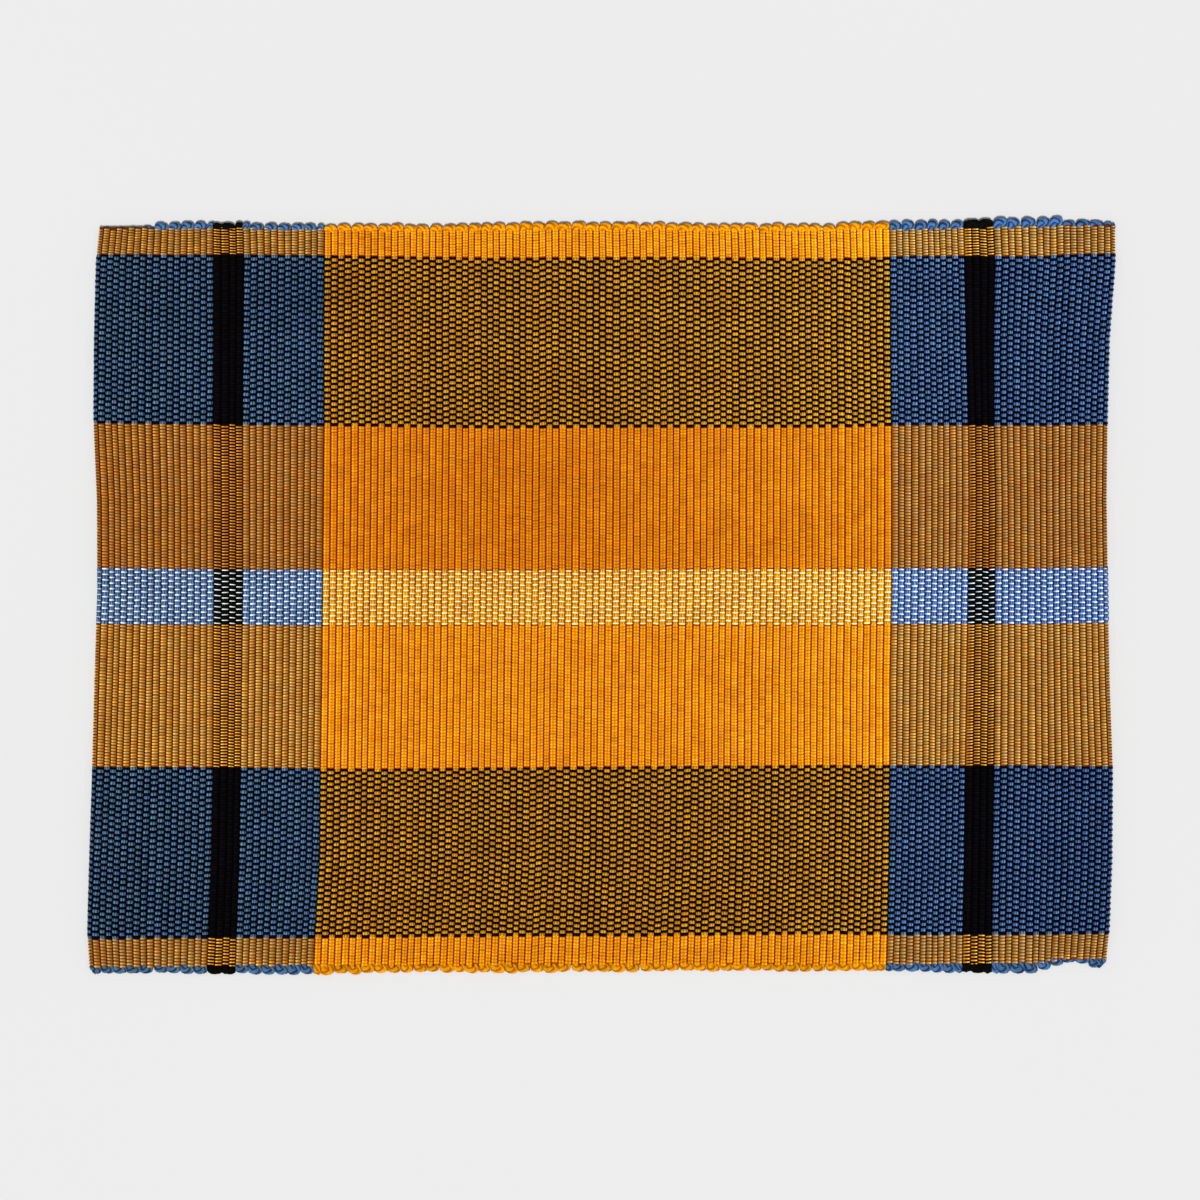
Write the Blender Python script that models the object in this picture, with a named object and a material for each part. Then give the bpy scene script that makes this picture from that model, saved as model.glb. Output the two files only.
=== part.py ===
"""A ribbed cotton placemat lying flat on a table.

The mat is one woven cloth. Thick weft cords run across it from one long edge to the other
and show as 154 ribs. At each long edge a cord turns back into the next rib, and the turns
stand out as small loops. At each short end the last seven ribs are folded under as a hem,
so the mat is two layers thick there.

+X runs along the mat, +Y across it and +Z up. The table is at z = 0.
"""

import math
from typing import NamedTuple

import bmesh
import bpy
import numpy as np

MM = 0.001

# Driving dimensions, in millimetres.
CLOTH_THICKNESS = 2.8  # one layer, over the crests of the ribs
HEM_THICKNESS = 5.4  # the two layers of a hem, pressed together
RIB_RELIEF = 0.7  # from a crest down to the furrow beside it
RIB_SHOULDER = 0.27  # share of a rib's width from the furrow to the edge of its crest
RIB_UNEVENNESS = 0.06  # share by which a rib is wider or narrower than its neighbours
HEM_RIBS = 7  # ribs that lie double at each short end
HEM_SLOPE_RIBS = 2.5  # ribs over which the upper layer comes down to the table

LOOP_LENGTH = 2.9  # from the last warp yarn to the tip of a loop
LOOP_CROWN = 1.0  # from the highest line of a loop to its tip
LOOP_NOTCH = 1.1  # how far the outline draws in between two loops
LOOP_UNEVENNESS = 0.35  # how far one loop's tip stands out past the next
CROWN_HEIGHT = 0.82  # height of a loop's crown, as a share of the cloth's
TIP_HEIGHT = 0.42  # height of the outermost line, as a share of the cloth's

UNDER_INSET_X = 1.6  # how far the flat underside lies in from a folded end
UNDER_INSET_Y = 0.8  # and from the tips of the loops
UNDER_REACH = 8.0  # the underside's outline runs straight past this distance from the edge

INNER_ROWS = 6  # lines of points across the ribs, between the two rows of loops
EDGE_ROWS = 2  # lines of points along each row of loops
SHARP_ANGLE = math.radians(60)
COTTON_GOLD = (0.63, 0.20, 0.009)  # linear colour of the cloth's main yarn
COTTON_ROUGHNESS = 0.9
SEED = 19


class Block(NamedTuple):
    """Ribs side by side in one colour of cord."""

    colour: str
    ribs: int
    lower_single: int  # 1 where the block's first rib has a loop of its own at the lower edge


BLOCKS = (
    Block("blue", 18, 0),
    Block("black", 4, 0),
    Block("blue", 12, 0),
    Block("gold", 86, 1),
    Block("blue", 12, 1),
    Block("black", 4, 1),
    Block("blue", 18, 1),
)
RIBS = sum(block.ribs for block in BLOCKS)


class StripeLine(NamedTuple):
    """Where the ends of the mat and the borders of the rib blocks lie, on one line across."""

    y: float
    left_end: float
    blue_black: float
    black_blue: float
    blue_gold: float
    gold_blue: float
    blue_black_2: float
    black_blue_2: float
    right_end: float


STRIPE_LINES = (
    StripeLine(-173.6, -241.3, -185.5, -172.2, -135.2, 134.3, 170.1, 183.8, 236.9),
    StripeLine(-156.7, -241.8, -185.0, -171.8, -134.8, 134.5, 169.9, 183.7, 238.6),
    StripeLine(-123.7, -241.2, -183.8, -170.6, -132.9, 135.2, 170.7, 184.0, 240.0),
    StripeLine(-80.4, -239.9, -183.1, -170.0, -132.3, 135.6, 171.2, 184.5, 240.3),
    StripeLine(-39.0, -238.9, -182.8, -169.4, -131.7, 135.7, 171.8, 185.0, 238.9),
    StripeLine(3.3, -237.6, -182.7, -169.0, -131.3, 136.4, 172.5, 185.2, 238.1),
    StripeLine(45.7, -237.8, -182.7, -169.0, -130.9, 136.4, 172.9, 185.3, 237.4),
    StripeLine(84.3, -239.4, -182.9, -169.1, -130.5, 136.5, 172.7, 184.6, 238.0),
    StripeLine(121.0, -239.0, -182.7, -168.8, -130.6, 136.0, 171.6, 184.4, 239.0),
    StripeLine(157.7, -237.9, -182.9, -168.4, -130.5, 135.9, 170.8, 185.1, 241.6),
    StripeLine(173.7, -236.4, -182.9, -168.8, -130.4, 135.5, 170.3, 184.5, 241.8),
)


class EdgePoint(NamedTuple):
    """How far the loops of a long edge reach, near one place along the mat."""

    x: float
    y: float


UPPER_EDGE = (
    EdgePoint(-236.0, 173.6),
    EdgePoint(-215.0, 173.9),
    EdgePoint(-207.8, 175.7),
    EdgePoint(-189.0, 176.6),
    EdgePoint(-123.1, 176.8),
    EdgePoint(-62.0, 175.8),
    EdgePoint(-24.3, 177.2),
    EdgePoint(46.3, 176.6),
    EdgePoint(107.5, 175.8),
    EdgePoint(140.4, 177.3),
    EdgePoint(214.8, 177.6),
    EdgePoint(240.2, 176.2),
)
LOWER_EDGE = (
    EdgePoint(-240.8, -176.4),
    EdgePoint(-214.9, -175.9),
    EdgePoint(-184.3, -176.7),
    EdgePoint(-133.5, -177.6),
    EdgePoint(-80.8, -176.0),
    EdgePoint(-47.8, -176.7),
    EdgePoint(74.5, -175.4),
    EdgePoint(140.4, -175.3),
    EdgePoint(178.1, -176.7),
    EdgePoint(207.0, -175.4),
    EdgePoint(215.5, -172.2),
    EdgePoint(235.0, -172.6),
)

FOLD_RADIUS = HEM_THICKNESS / 2
UPPER, LOWER = 1, -1


def smooth_step(t):
    """Ease from 0 to 1 as t goes from 0 to 1."""
    t = min(max(t, 0.0), 1.0)
    return t * t * (3.0 - 2.0 * t)


def rib_shares():
    """For each block, how far across it each rib border lies, from 0 to 1."""
    uneven = np.random.default_rng(SEED)
    shares = []
    for block in BLOCKS:
        widths = 1.0 + uneven.uniform(-RIB_UNEVENNESS, RIB_UNEVENNESS, block.ribs)
        borders = np.concatenate(([0.0], np.cumsum(widths)))
        shares.append(borders / borders[-1])
    return shares


def make_loops(side):
    """The loops of one long edge, as (first rib, ribs joined, extra length)."""
    uneven = np.random.default_rng(SEED + side)
    loops = []
    first = 0
    for block in BLOCKS:
        last = first + block.ribs
        rib = first
        single = block.lower_single if side == LOWER else 1 - block.lower_single
        while rib < last:
            joined = 1 if (rib == first and single) or rib == last - 1 else 2
            extra = uneven.uniform(-LOOP_UNEVENNESS, LOOP_UNEVENNESS)
            loops.append((rib, joined, extra))
            rib += joined
        first = last
    return loops


SHARES = rib_shares()
LOOPS = {UPPER: make_loops(UPPER), LOWER: make_loops(LOWER)}


def stripe_places(y):
    """The x of the two ends and of the block borders at y."""
    lines = np.array(STRIPE_LINES)
    return [np.interp(y, lines[:, 0], column) for column in lines[:, 1:].T]


def rib_borders(y):
    """The x of every rib border at y, counted along the upper face.

    A folded end takes up one rib, so the first border and the last one lie on the fold.
    """
    places = stripe_places(y)
    places[0] += FOLD_RADIUS
    places[-1] -= FOLD_RADIUS
    borders = [places[0]]
    for number, share in enumerate(SHARES):
        if number == 0:
            share = (share[1:] - share[1]) / (1.0 - share[1])
        if number == len(SHARES) - 1:
            share = share[:-1] / share[-2]
        start, end = places[number], places[number + 1]
        borders.extend(start + (end - start) * share[1:])
    return np.array(borders)


def cloth_height(rib):
    """The height of the crests at a place counted in ribs from the left end."""
    from_end = min(rib, RIBS - rib)
    lift = 1.0 - smooth_step((from_end - HEM_RIBS) / HEM_SLOPE_RIBS)
    return CLOTH_THICKNESS + (HEM_THICKNESS - CLOTH_THICKNESS) * lift


def across(rib, y, furrow):
    """The (x, z) of the upper face at a place counted in ribs, sunk by furrow below the crests."""
    borders = rib_borders(y)
    from_end = min(rib, RIBS - rib)
    if from_end >= 1:
        x = np.interp(rib, np.arange(1, RIBS), borders)
        return x, cloth_height(rib) - furrow
    pitch = borders[1] - borders[0]
    angle = math.pi / 2 - (1.0 - from_end) * pitch / FOLD_RADIUS
    radius = FOLD_RADIUS - furrow
    out = radius * math.cos(angle)
    z = FOLD_RADIUS + radius * math.sin(angle)
    return (borders[0] - out, z) if rib < 1 else (borders[-1] + out, z)


def edge_reach(side, x):
    """The y that the loops of a long edge reach on average, at x."""
    places = np.array(UPPER_EDGE if side == UPPER else LOWER_EDGE)
    return np.interp(x, places[:, 0], places[:, 1])


def loop_tip(side, rib, x):
    """The y of the outline of a long edge at a place counted in ribs."""
    inside = min(max(rib, 0.0), RIBS - 0.001)
    for first, joined, extra in LOOPS[side]:
        if first <= inside < first + joined:
            off_middle = abs(inside - first - joined / 2) / (joined / 2)
            return edge_reach(side, x) + side * (extra - LOOP_NOTCH * off_middle**3)
    return edge_reach(side, x)


def upper_point(rib, row, last_row):
    """A point of the upper face, from its place in ribs and the number of its line.

    The first line and the last one run along the tips of the loops, and the lines next to
    them along the crowns of the loops. The others lie evenly between the two edges.
    """
    share = (row - EDGE_ROWS) / (last_row - 2 * EDGE_ROWS)
    furrow = RIB_RELIEF if rib == round(rib) else 0.0
    x, z = across(rib, LOWER_EDGE[0].y + share * (UPPER_EDGE[0].y - LOWER_EDGE[0].y), furrow)
    side = LOWER if share < 0.5 else UPPER
    from_edge = min(row, last_row - row)
    if from_edge == 0:
        return x, loop_tip(side, rib, x), z * TIP_HEIGHT
    if from_edge == 1:
        return x, loop_tip(side, rib, x) - side * LOOP_CROWN, z * CROWN_HEIGHT
    low = edge_reach(LOWER, x) + LOOP_LENGTH
    high = edge_reach(UPPER, x) - LOOP_LENGTH
    return x, low + share * (high - low), z


def draw_in(place, low, high, inset):
    """Move a place that is near either limit towards the middle, and leave the others."""
    from_edge = min(place - low, high - place)
    if from_edge >= UNDER_REACH:
        return place
    move = inset * (1.0 - from_edge / UNDER_REACH)
    return place + move if place - low < high - place else place - move


def under_point(x, y):
    """The point of the flat underside that lies below a point of the outline."""
    ends = stripe_places(y)
    inner_x = draw_in(x, ends[0], ends[-1], UNDER_INSET_X)
    inner_y = draw_in(y, edge_reach(LOWER, x), edge_reach(UPPER, x), UNDER_INSET_Y)
    return inner_x, inner_y, 0.0


def make_cotton():
    """Dull dyed cotton yarn."""
    cotton = bpy.data.materials.new("dyed_cotton")
    cotton.use_nodes = True
    shader = cotton.node_tree.nodes["Principled BSDF"]
    shader.inputs["Base Color"].default_value = (*COTTON_GOLD, 1.0)
    shader.inputs["Roughness"].default_value = COTTON_ROUGHNESS
    shader.inputs["Metallic"].default_value = 0.0
    return cotton


def column_places():
    """Where the lines of points along the ribs lie, counted in ribs from the left end.

    Each rib has a line in its furrow and one at each edge of its crest. The first line
    and the last one lie on the next rib, which is on the lower half of the fold.
    """
    places = [-1 + RIB_SHOULDER, -RIB_SHOULDER]
    for rib in range(RIBS):
        places += [rib, rib + RIB_SHOULDER, rib + 1 - RIB_SHOULDER]
    return places + [RIBS, RIBS + RIB_SHOULDER, RIBS + 1 - RIB_SHOULDER]


def shape_upper_face(bm):
    """A grid of points on the ribbed upper face, from one fold to the other."""
    columns = column_places()
    last_row = INNER_ROWS + 2 * EDGE_ROWS - 1
    bmesh.ops.create_grid(bm, x_segments=len(columns) - 1, y_segments=last_row, size=1.0)
    grid = iter(sorted(bm.verts, key=lambda vert: (round(vert.co.y, 5), vert.co.x)))
    for row in range(last_row + 1):
        for rib in columns:
            next(grid).co = [place * MM for place in upper_point(rib, row, last_row)]


def close_underneath(bm):
    """Run the rim down to the table and close it with one flat face."""
    outline = [edge for edge in bm.edges if edge.is_boundary]
    rim = bmesh.ops.extrude_edge_only(bm, edges=outline)["geom"]
    for vert in rim:
        if isinstance(vert, bmesh.types.BMVert):
            vert.co = [place * MM for place in under_point(vert.co.x / MM, vert.co.y / MM)]
    lowest = [edge for edge in rim if isinstance(edge, bmesh.types.BMEdge) and edge.is_boundary]
    bmesh.ops.contextual_create(bm, geom=lowest)
    bmesh.ops.recalc_face_normals(bm, faces=bm.faces)


def centre_outline(bm):
    """Put the middle of the outline on the Z axis."""
    xs = [vert.co.x for vert in bm.verts]
    ys = [vert.co.y for vert in bm.verts]
    shift = (-(min(xs) + max(xs)) / 2, -(min(ys) + max(ys)) / 2, 0.0)
    bmesh.ops.translate(bm, verts=bm.verts, vec=shift)


def make_cloth():
    """The whole mat, as one closed body."""
    bm = bmesh.new()
    shape_upper_face(bm)
    close_underneath(bm)
    centre_outline(bm)
    mesh = bpy.data.meshes.new("mat_cloth")
    bm.to_mesh(mesh)
    bm.free()
    mesh.shade_smooth()
    mesh.set_sharp_from_angle(angle=SHARP_ANGLE)
    mesh.materials.append(make_cotton())
    bpy.context.scene.collection.objects.link(bpy.data.objects.new("mat_cloth", mesh))


for old in list(bpy.data.objects):
    bpy.data.objects.remove(old, do_unlink=True)
make_cloth()
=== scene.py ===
# %% [markdown]
# # A ribbed cotton placemat
# The mat is one hand-loomed cloth. Thick weft cords run up the page and show as 154 ribs,
# and thin warp yarns run along the mat, over one rib and under the next. We build it the way
# the loom does: first the cords as one folded sheet, then each piece of yarn that shows on
# top of it, and last the turns of cord along the two long edges.

import math

import bmesh
import bpy
import numpy as np
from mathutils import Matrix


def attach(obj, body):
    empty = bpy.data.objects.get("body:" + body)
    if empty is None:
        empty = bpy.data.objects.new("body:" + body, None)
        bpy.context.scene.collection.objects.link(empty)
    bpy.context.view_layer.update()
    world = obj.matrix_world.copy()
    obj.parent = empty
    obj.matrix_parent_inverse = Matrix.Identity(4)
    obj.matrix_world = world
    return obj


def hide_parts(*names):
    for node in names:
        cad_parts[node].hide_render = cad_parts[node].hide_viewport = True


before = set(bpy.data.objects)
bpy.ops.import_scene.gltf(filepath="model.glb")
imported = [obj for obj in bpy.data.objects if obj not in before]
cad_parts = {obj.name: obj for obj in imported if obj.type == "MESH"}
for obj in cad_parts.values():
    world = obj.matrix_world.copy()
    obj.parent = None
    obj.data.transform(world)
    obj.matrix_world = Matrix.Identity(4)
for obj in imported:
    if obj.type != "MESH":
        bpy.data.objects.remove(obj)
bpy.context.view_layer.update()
MM = 0.001

# %% [markdown]
# ## Camera, floor and light
# The mat was photographed from straight above, so the camera looks straight down. A long
# lens keeps its sides from leaning. The light comes from the near edge, soft but strong
# enough to throw a short grey shadow beyond the far edge.

# %% Camera
VIEW_WIDTH = 564.7  # mm of table across the picture
LENS, SENSOR = 100.0, 36.0
CAMERA_X, CAMERA_Y = -1.02, -1.51  # mm, the mat lies a little off the picture's middle
CREST_Z = 2.8  # mm, the height that the picture's scale is measured at

camera_height = (VIEW_WIDTH * LENS / SENSOR + CREST_Z) * MM
bpy.ops.object.camera_add(location=(CAMERA_X * MM, CAMERA_Y * MM, camera_height),
                          rotation=(0, 0, 0))
camera = bpy.context.object
camera.data.lens = LENS
camera.data.sensor_width = SENSOR
bpy.context.scene.camera = camera
print("camera is", round(camera_height, 3), "m up")


# %% Small helpers for finishes
def linear(colour):
    """An sRGB hex colour as the linear RGBA that Blender works in."""
    parts = [int(colour[i : i + 2], 16) / 255 for i in (0, 2, 4)]
    parts = [c / 12.92 if c <= 0.04045 else ((c + 0.055) / 1.055) ** 2.4 for c in parts]
    return (*parts, 1.0)


def node(tree, kind, settings=(), links=()):
    """Add a shader node. settings are its own choices; links give inputs a value or a socket."""
    made = tree.nodes.new("ShaderNode" + kind)
    for name, value in dict(settings).items():
        setattr(made, name, value)
    for name, value in dict(links).items():
        if isinstance(value, bpy.types.NodeSocket):
            tree.links.new(value, made.inputs[name])
        else:
            made.inputs[name].default_value = value
    return made


# A mix has sockets for numbers and for colours under the same names, so those for colours go
# by number. A range takes its value, where that starts and ends, and what it becomes there, in
# this order, which enumerate() counts off.
MIX, TIMES = {"data_type": "RGBA"}, {"data_type": "RGBA", "blend_type": "MULTIPLY"}
A, B, MIXED = 6, 7, 2


def new_finish(name, roughness):
    """A material with a lone shader, and its tree and shader to build on."""
    finish = bpy.data.materials.new(name)
    finish.use_nodes = True
    tree = finish.node_tree
    shader = tree.nodes["Principled BSDF"]
    shader.inputs["Roughness"].default_value = roughness
    return finish, tree, shader


# %% Floor
# Matt white card, sprayed: no grain at this distance, only a trace of unevenness.
FLOOR_SIZE = 8.0
card, tree, shader = new_finish("matt_card", 0.95)
shader.inputs["Specular IOR Level"].default_value = 0.2
place = node(tree, "TexCoord")
clouds = node(tree, "TexNoise", {}, {"Vector": place.outputs["Object"], "Scale": 2.0})
tint = node(tree, "Mix", MIX,
            {"Factor": clouds.outputs["Fac"], A: linear("C4C4C4"), B: linear("C6C6C6")})
tree.links.new(tint.outputs[MIXED], shader.inputs["Base Color"])

bpy.ops.mesh.primitive_plane_add(size=FLOOR_SIZE, location=(0, 0, 0))
floor = bpy.context.object
floor.name = "floor"
floor.data.materials.append(card)
print("floor", tuple(floor.dimensions))

# %% Light
SKY_STRENGTH = 0.38
SUN_STRENGTH = 3.95
SUN_SPREAD = math.radians(13)
SUN_TILT = math.radians(26)  # down from straight above, towards the near edge

world = bpy.data.worlds.new("studio")
world.use_nodes = True
world.node_tree.nodes["Background"].inputs["Color"].default_value = linear("FFFFFF")
world.node_tree.nodes["Background"].inputs["Strength"].default_value = SKY_STRENGTH
bpy.context.scene.world = world

bpy.ops.object.light_add(type="SUN", location=(0, 0, 2), rotation=(SUN_TILT, 0, 0))
sun = bpy.context.object
sun.name = "soft_key"
sun.data.energy = SUN_STRENGTH
sun.data.angle = SUN_SPREAD
bpy.context.scene.view_settings.view_transform = "Standard"
print("sun", sun.data.energy, "sky", SKY_STRENGTH)

# %% [markdown]
# ## The loom's plan
# Two lists say the whole cloth: the blocks of weft cord from left to right, and the bands of
# warp yarn from top to bottom. The stripes are not quite straight, because cloth never is,
# so their places are measured on a few lines and read off in between.

# %% Blocks of weft cord
BLOCKS = (("blue", 18), ("black", 4), ("blue", 12), ("gold", 86), ("blue", 12), ("black", 4),
          ("blue", 18))
LOWER_SINGLES = (0, 0, 0, 1, 1, 1, 1)  # 1 where a block's first rib has its own lower loop
RIBS = sum(count for _, count in BLOCKS)
STARTS = np.concatenate(([0], np.cumsum([count for _, count in BLOCKS])))
RIB_UNEVENNESS = 0.1
RIB_WOBBLE = 0.13  # mm, a rib's border strays this far on its way down the mat
SEED = 19


def block_of(rib):
    """The number of the block that a rib belongs to; folded ribs count as the end blocks."""
    return np.clip(np.searchsorted(STARTS, np.floor(rib), side="right") - 1, 0, len(BLOCKS) - 1)


def rib_shares():
    """For each block, how far across it each rib border lies, from 0 to 1."""
    uneven = np.random.default_rng(SEED)
    shares = []
    for _, count in BLOCKS:
        widths = 1.0 + uneven.uniform(-RIB_UNEVENNESS, RIB_UNEVENNESS, count)
        borders = np.concatenate(([0.0], np.cumsum(widths)))
        shares.append(borders / borders[-1])
    return shares


print(RIBS, "ribs in", len(BLOCKS), "blocks")

# %% Where the blocks lie
# y, left end, the six borders between blocks, right end; in mm
STRIPE_LINES = np.array((
    (-173.6, -241.5, -185.7, -172.4, -135.5, 134.0, 169.8, 183.6, 237.8),
    (-156.7, -242.4, -185.0, -171.8, -134.8, 134.5, 169.9, 183.7, 239.2),
    (-123.7, -241.5, -183.8, -170.6, -132.9, 135.2, 170.7, 184.0, 240.6),
    (-80.4, -240.1, -183.1, -170.0, -132.3, 135.6, 171.2, 184.5, 240.9),
    (-39.0, -238.9, -182.8, -169.4, -131.7, 135.7, 171.8, 185.0, 239.5),
    (3.3, -237.6, -182.7, -169.0, -131.3, 136.4, 172.5, 185.2, 238.6),
    (45.7, -237.8, -182.7, -169.0, -130.9, 136.4, 172.9, 185.3, 237.9),
    (84.3, -239.6, -182.9, -169.1, -130.5, 136.5, 172.7, 184.6, 238.5),
    (121.0, -239.3, -182.7, -168.8, -130.6, 136.0, 171.6, 184.4, 239.5),
    (157.7, -238.5, -182.9, -168.4, -130.5, 135.9, 170.8, 185.1, 242.1),
    (173.7, -236.9, -182.9, -168.8, -130.4, 135.5, 170.3, 184.5, 242.2),
))
HEM_THICKNESS = 5.4
FOLD_RADIUS = HEM_THICKNESS / 2


def border_table():
    """The x of rib borders 1 to RIBS - 1 on each stripe line. The end ribs go round the folds."""
    table = []
    shares = rib_shares()
    uneven = np.random.default_rng(SEED + 1)
    for line in STRIPE_LINES:
        places = line[1:].copy()
        places[0] += FOLD_RADIUS
        places[-1] -= FOLD_RADIUS
        borders = [places[0]]
        for number, share in enumerate(shares):
            if number == 0:
                share = (share[1:] - share[1]) / (1.0 - share[1])
            if number == len(BLOCKS) - 1:
                share = share[:-1] / share[-2]
            borders.extend(places[number] + (places[number + 1] - places[number]) * share[1:])
        table.append(borders + uneven.uniform(-RIB_WOBBLE, RIB_WOBBLE, len(borders)))
    return np.array(table)


BORDERS = border_table()


def between(table, line, column):
    """Read a table at fractional line and column numbers."""
    line = np.clip(line, 0, table.shape[0] - 1)
    column = np.clip(column, 0, table.shape[1] - 1)
    top = np.minimum(line.astype(int), table.shape[0] - 2)
    left = np.minimum(column.astype(int), table.shape[1] - 2)
    down, along = line - top, column - left
    upper = table[top, left] * (1 - along) + table[top, left + 1] * along
    lower = table[top + 1, left] * (1 - along) + table[top + 1, left + 1] * along
    return upper * (1 - down) + lower * down


def rib_x(rib, y):
    """The x, in mm, of a place counted in ribs, on the upper face."""
    line = np.interp(y, STRIPE_LINES[:, 0], np.arange(len(STRIPE_LINES)))
    return between(BORDERS, line, np.asarray(rib, float) - 1)


print("border table", BORDERS.shape)

# %% Bands of warp yarn
# name, warps; from the upper edge down
BANDS = (("edge_gold", 20), ("black", 59), ("deep_gold", 97), ("white", 20), ("light_gold", 96),
         ("black", 59), ("edge_gold", 18))
WARP_STARTS = np.concatenate(([0], np.cumsum([count for _, count in BANDS])))
WARPS = WARP_STARTS[-1]
# The y of each border between bands, in mm, at twelve places along the mat. The first row and
# the last one are the outermost warps.
BAND_X = np.array(
    (-240.0, -215.0, -172.1, -110.9, -49.7, 13.0, 109.3, 146.1, 207.2, 211.5, 216.0, 231.7))
BAND_LINES = np.array((
    (173.4, 173.6, 173.9, 173.2, 173.0, 173.1, 173.2, 173.2, 174.7, 174.8, 174.8, 174.9),
    (161.3, 161.3, 161.3, 160.7, 159.7, 160.1, 159.4, 160.6, 160.6, 160.8, 161.0, 161.6),
    (81.8, 81.6, 81.2, 80.5, 79.6, 80.0, 80.0, 81.1, 80.8, 80.9, 80.9, 81.2),
    (14.0, 13.6, 13.2, 13.0, 12.7, 13.1, 13.5, 13.7, 13.7, 13.8, 13.8, 14.0),
    (-12.5, -12.8, -13.0, -13.4, -13.2, -13.1, -13.2, -12.6, -12.6, -12.5, -12.4, -12.1),
    (-79.7, -79.9, -80.1, -80.9, -80.3, -79.7, -79.1, -79.2, -79.3, -79.3, -79.4, -79.5),
    (-160.8, -160.5, -160.3, -160.2, -159.5, -159.5, -158.4, -158.9, -158.7, -158.6, -158.4,
     -158.1),
    (-174.1, -174.0, -173.7, -173.1, -172.9, -172.9, -172.9, -173.0, -172.4, -171.4, -170.0,
     -170.3),
))


def warp_y(warp, x):
    """The y, in mm, of a place counted in warps from the upper edge, at x."""
    line = np.interp(warp, WARP_STARTS, np.arange(len(WARP_STARTS)))
    column = np.interp(x, BAND_X, np.arange(len(BAND_X)))
    return between(BAND_LINES, line, column)


def warp_on_rib(warp, rib):
    """The y, in mm, where a warp crosses a place counted in ribs."""
    rib = np.clip(rib, 1, RIBS - 1)
    y = warp_y(warp, rib_x(rib, 0.0))
    return warp_y(warp, rib_x(rib, y))


def band_of(warp):
    """The number of the band that a warp belongs to."""
    return np.clip(np.searchsorted(WARP_STARTS, warp, side="right") - 1, 0, len(BANDS) - 1)


print(WARPS, "warps in", len(BANDS), "bands")

# %% [markdown]
# ## From the loom to the table
# Every piece of yarn is shaped in the cloth's own measures: ribs along, warps across, and
# height off the crests. One function then lays those places on the table. It runs along the
# upper face, round the fold at each short end and back under the hem, so a yarn near an end
# simply follows the fold.

# %% Lay a place of the cloth on the table
CLOTH_THICKNESS = 2.8
HEM_RIBS = 7
HEM_SLOPE_RIBS = 2.5
CENTRE_SHIFT = (-0.244, -0.119)  # mm, puts the middle of the outline on the Z axis
CORNER_PRESS = 0.24  # the hems are pressed flatter at the four corners
EDGE_ZONE = (150.0, 174.0)  # mm from the middle, where the mat nears its long edges


def smooth_step(t):
    """Ease from 0 to 1 as t goes from 0 to 1."""
    t = np.clip(t, 0.0, 1.0)
    return t * t * (3.0 - 2.0 * t)


def hem_share(rib):
    """1 on the ribs of a hem, easing to 0 where the cloth lies single."""
    return 1.0 - smooth_step((np.minimum(rib, RIBS - rib) - HEM_RIBS) / HEM_SLOPE_RIBS)


def near_edge(y):
    """0 well inside the mat, easing to 1 at its long edges."""
    start, end = EDGE_ZONE
    return smooth_step((np.abs(y) - start) / (end - start))


def pressed(y):
    """How much of a hem's thickness is left at y mm."""
    return 1.0 - CORNER_PRESS * near_edge(y)


def on_table(rib, y, height):
    """The point, in metres, that lies height mm off the crests of the ribs, at y mm."""
    rib, y, height = np.broadcast_arrays(*(np.asarray(a, float) for a in (rib, y, height)))
    from_end = np.minimum(rib, RIBS - rib)
    outwards = np.where(rib < RIBS / 2, -1.0, 1.0)
    flat_rib = np.clip(rib, 1, RIBS - 1)
    pitch = np.abs(rib_x(flat_rib, y) - rib_x(flat_rib + np.where(outwards < 0, 1, -1), y))
    fold = FOLD_RADIUS * pressed(y)
    crest = CLOTH_THICKNESS + (2 * fold - CLOTH_THICKNESS) * hem_share(rib)
    run = np.maximum(1.0 - from_end, 0.0) * pitch  # along the cloth, past the last flat rib
    angle = np.minimum(run / FOLD_RADIUS, math.pi)
    back = np.maximum(run - math.pi * FOLD_RADIUS, 0.0)  # along the layer underneath
    x = rib_x(flat_rib, y) + outwards * ((FOLD_RADIUS + height) * np.sin(angle) - back)
    z = np.where(run > 0, fold + (fold + height) * np.cos(angle), crest + height)
    return np.stack((x + CENTRE_SHIFT[0], y + CENTRE_SHIFT[1], z), axis=-1) * MM


print("first and last crest:", on_table([-0.4, RIBS + 0.4], 0.0, 0.0).round(4).tolist())


# %% Put points and faces together as one piece
ROUNDED_UP_TO = math.radians(95)  # faces that meet at a flatter angle are shaded as one round


def make_piece(name, points, corners, sizes, finish, maps=(), values=()):
    """A mesh object from arrays. maps are UV maps by name, values are numbers at its points."""
    mesh = bpy.data.meshes.new(name)
    mesh.vertices.add(len(points))
    mesh.vertices.foreach_set("co", np.ascontiguousarray(points, np.float32).ravel())
    mesh.loops.add(len(corners))
    mesh.loops.foreach_set("vertex_index", np.ascontiguousarray(corners, np.int32))
    mesh.polygons.add(len(sizes))
    starts = np.concatenate(([0], np.cumsum(sizes)[:-1]))
    mesh.polygons.foreach_set("loop_start", starts.astype(np.int32))
    for layer, places in dict(maps).items():
        mesh.uv_layers.new(name=layer).data.foreach_set(
            "uv", np.ascontiguousarray(places, np.float32).ravel())
    for layer, numbers in dict(values).items():
        mesh.attributes.new(layer, "FLOAT", "POINT").data.foreach_set(
            "value", np.ascontiguousarray(numbers, np.float32).ravel())
    mesh.update(calc_edges=True)
    mesh.validate()
    mesh.materials.append(finish)
    piece = bpy.data.objects.new(name, mesh)
    bpy.context.scene.collection.objects.link(piece)
    bpy.ops.object.select_all(action="DESELECT")
    piece.select_set(True)
    bpy.context.view_layer.objects.active = piece
    bpy.ops.object.shade_smooth_by_angle(angle=ROUNDED_UP_TO)
    print(name, len(points), "points", int((np.asarray(sizes) - 2).sum()), "triangles")
    return piece


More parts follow.
